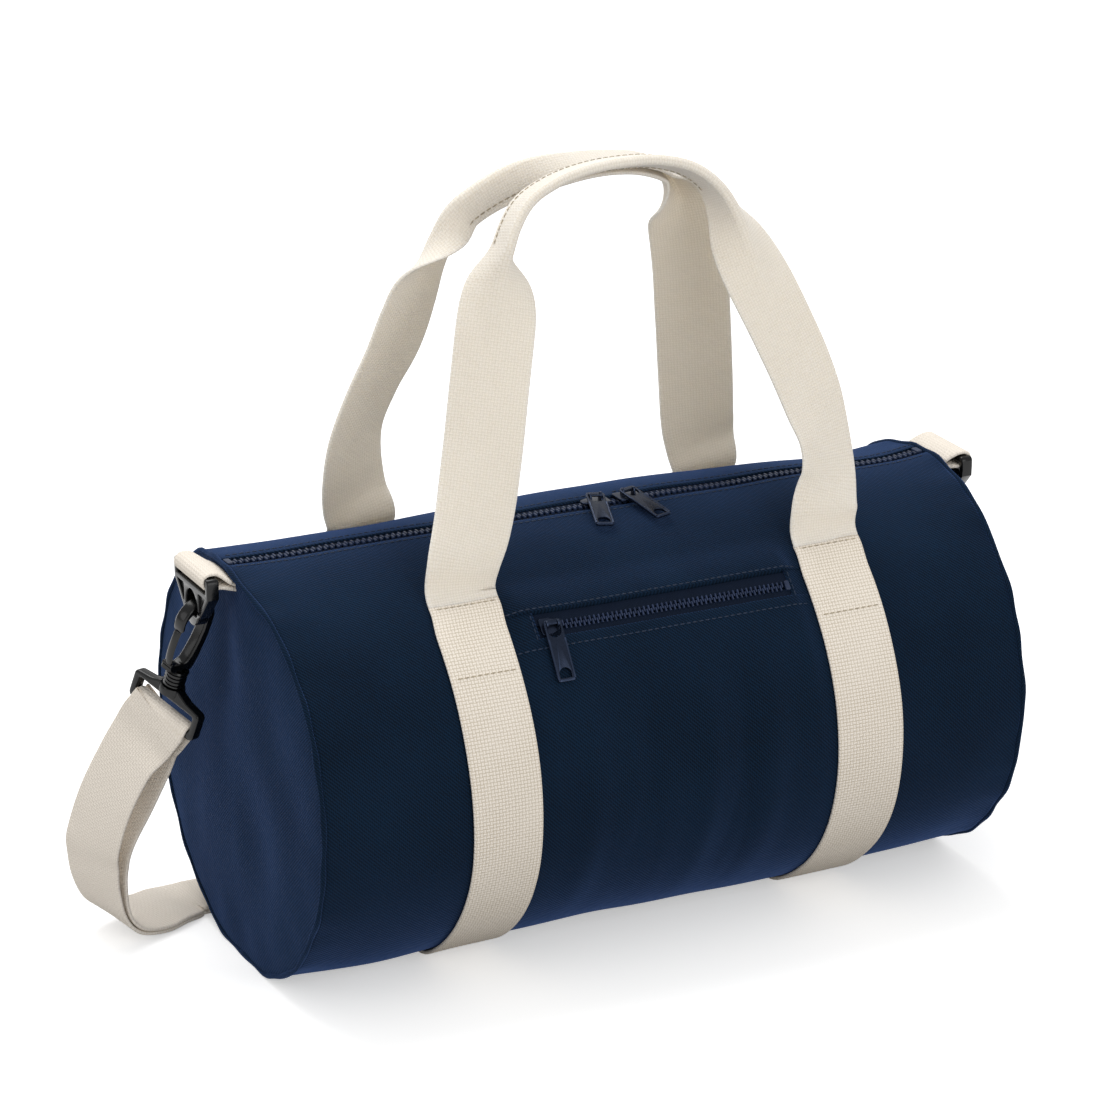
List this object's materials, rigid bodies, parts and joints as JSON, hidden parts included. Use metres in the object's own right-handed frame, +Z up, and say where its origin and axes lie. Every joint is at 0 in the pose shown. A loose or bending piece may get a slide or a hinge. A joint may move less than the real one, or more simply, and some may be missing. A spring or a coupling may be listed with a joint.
{
  "type": "barrel bag",
  "caption": "Canvas barrel bag with a top zip, a front zip pocket, two webbing carry handles and a clip-on shoulder strap.",
  "frame": {"origin": "on the floor under the middle of the barrel, on its flattened base", "axes": "+Z up, +X along the barrel towards its right end, front pocket towards -Y"},
  "size_m": [0.5032, 0.2236, 0.4004],
  "materials": {
    "navy_canvas": "woven matte",
    "navy_tape": "woven matte",
    "navy_zip_teeth": "satin",
    "gunmetal": "satin",
    "black_plastic": "semi gloss",
    "cream_webbing": "woven matte"
  },
  "bodies": {
    "bag": {"main_panel": "navy_canvas", "pocket_panel": "navy_canvas", "end_panel_left": "navy_canvas", "seam_binding_left": "navy_tape", "wrap_strap_left": "cream_webbing", "ring_tab_left": "cream_webbing", "main_zip_stop_left": "navy_zip_teeth", "strap_leg_left": "cream_webbing", "end_panel_right": "navy_canvas", "seam_binding_right": "navy_tape", "wrap_strap_right": "cream_webbing", "ring_tab_right": "cream_webbing", "main_zip_stop_right": "navy_zip_teeth", "strap_leg_right": "cream_webbing", "strap_leg_left_inner": "cream_webbing", "main_zip_tape_front": "navy_tape", "main_zip_teeth_front": "navy_zip_teeth", "pocket_zip_tape_lower": "navy_tape", "pocket_zip_tape_upper": "navy_tape", "pocket_zip_teeth_lower": "navy_zip_teeth", "pocket_zip_teeth_upper": "navy_zip_teeth", "pocket_zip_stop": "navy_zip_teeth", "strap_floor_run": "cream_webbing", "strap_return_layer": "cream_webbing"},
    "rear_lip": {"rear_lip": "navy_canvas", "main_zip_tape_rear": "navy_tape", "main_zip_teeth_rear": "navy_zip_teeth"},
    "main_slider_left": {"main_zip_slider_left": "gunmetal"},
    "main_pull_left": {"main_zip_pull_left": "gunmetal"},
    "clip_left": {"ring_left": "black_plastic", "hook_left": "black_plastic"},
    "gate_left": {"hook_gate_left": "black_plastic"},
    "swivel_left": {"swivel_base_left": "black_plastic", "strap_loop_left": "cream_webbing"},
    "main_slider_right": {"main_zip_slider_right": "gunmetal"},
    "main_pull_right": {"main_zip_pull_right": "gunmetal"},
    "clip_right": {"ring_right": "black_plastic", "hook_right": "black_plastic"},
    "gate_right": {"hook_gate_right": "black_plastic"},
    "swivel_right": {"swivel_base_right": "black_plastic", "strap_loop_right": "cream_webbing"},
    "pocket_slider": {"pocket_zip_slider": "gunmetal"},
    "pocket_pull": {"pocket_zip_pull": "gunmetal"},
    "front_handle": {"front_handle": "cream_webbing"},
    "rear_handle": {"rear_handle": "cream_webbing"},
    "adjuster": {"strap_adjuster": "black_plastic"}
  },
  "joints": [
    {"name": "mouth_open", "type": "hinge", "parent": "bag", "child": "rear_lip", "pos_m": [0, 0.05583, 0.19972], "axis": [-1, 0, 0], "range_deg": [0, 55], "deforming": ["main_zip_teeth_front", "main_zip_teeth_rear"]},
    {"name": "main_slider_left_slide", "type": "slide", "parent": "bag", "child": "main_slider_left", "axis": [1, 0, 0], "range_m": [-0.168, 0], "deforming": ["main_zip_teeth_front", "main_zip_teeth_rear"]},
    {"name": "main_slider_right_slide", "type": "slide", "parent": "bag", "child": "main_slider_right", "axis": [1, 0, 0], "range_m": [0, 0.143], "deforming": ["main_zip_teeth_front", "main_zip_teeth_rear"]},
    {"name": "main_pull_left_swing", "type": "hinge", "parent": "main_slider_left", "child": "main_pull_left", "pos_m": [0.003, 0, 0.2193], "axis": [1, 0, 0], "range_deg": [-170, 0]},
    {"name": "main_pull_right_swing", "type": "hinge", "parent": "main_slider_right", "child": "main_pull_right", "pos_m": [0.022, 0, 0.2193], "axis": [1, 0, 0], "range_deg": [-170, 0]},
    {"name": "pocket_slider_slide", "type": "slide", "parent": "bag", "child": "pocket_slider", "axis": [1, 0, 0], "range_m": [0, 0.125], "deforming": ["pocket_zip_teeth_lower", "pocket_zip_teeth_upper"]},
    {"name": "pocket_pull_swing", "type": "hinge", "parent": "pocket_slider", "child": "pocket_pull", "pos_m": [-0.062, -0.08252, 0.18733], "axis": [1, 0, 0], "range_deg": [-150, 0]},
    {"name": "front_handle_fold", "type": "hinge", "parent": "bag", "child": "front_handle", "pos_m": [0, -0.06378, 0.1996], "axis": [1, 0, 0], "range_deg": [0, 130]},
    {"name": "rear_handle_fold", "type": "hinge", "parent": "bag", "child": "rear_handle", "pos_m": [0, 0.06378, 0.1996], "axis": [-1, 0, 0], "range_deg": [0, 130]},
    {"name": "clip_left_swing", "type": "hinge", "parent": "bag", "child": "clip_left", "pos_m": [-0.218, 0, 0.2133], "axis": [0, 1, 0], "range_deg": [-8, 30], "deforming": ["strap_leg_left", "strap_leg_left_inner"]},
    {"name": "gate_left_press", "type": "hinge", "parent": "clip_left", "child": "gate_left", "pos_m": [-0.23261, 0.00485, 0.16462], "axis": [-0.3829, 0.8601, 0.3371], "range_deg": [0, 18], "stiffness_Nm_per_rad": 0.05},
    {"name": "swivel_left_turn", "type": "hinge", "parent": "clip_left", "child": "swivel_left", "pos_m": [-0.218, 0, 0.1936], "axis": [0.2005, -0.2788, 0.9392], "range_deg": [-40, 40], "deforming": ["strap_leg_left", "strap_leg_left_inner"]},
    {"name": "clip_right_swing", "type": "hinge", "parent": "bag", "child": "clip_right", "pos_m": [0.2135, 0, 0.2133], "axis": [0, -1, 0], "range_deg": [0, 30], "deforming": ["strap_leg_right"]},
    {"name": "gate_right_press", "type": "hinge", "parent": "clip_right", "child": "gate_right", "pos_m": [0.22445, 0.00393, 0.16291], "axis": [-0.1371, -0.9752, -0.1736], "range_deg": [0, 18], "stiffness_Nm_per_rad": 0.05},
    {"name": "swivel_right_turn", "type": "hinge", "parent": "clip_right", "child": "swivel_right", "pos_m": [0.2135, 0, 0.1936], "axis": [-0.0587, -0.167, 0.9842], "range_deg": [-20, 20], "deforming": ["strap_leg_right"]},
    {"name": "adjuster_slide", "type": "slide", "parent": "bag", "child": "adjuster", "axis": [1, 0, 0], "range_m": [-0.08, 0.06], "deforming": ["strap_floor_run", "strap_return_layer"]}
  ],
  "couplings": [
    {"joint": "main_slider_left_slide", "follows": "mouth_open", "m_per_rad": -0.175},
    {"joint": "main_slider_right_slide", "follows": "mouth_open", "m_per_rad": 0.1489}
  ]
}
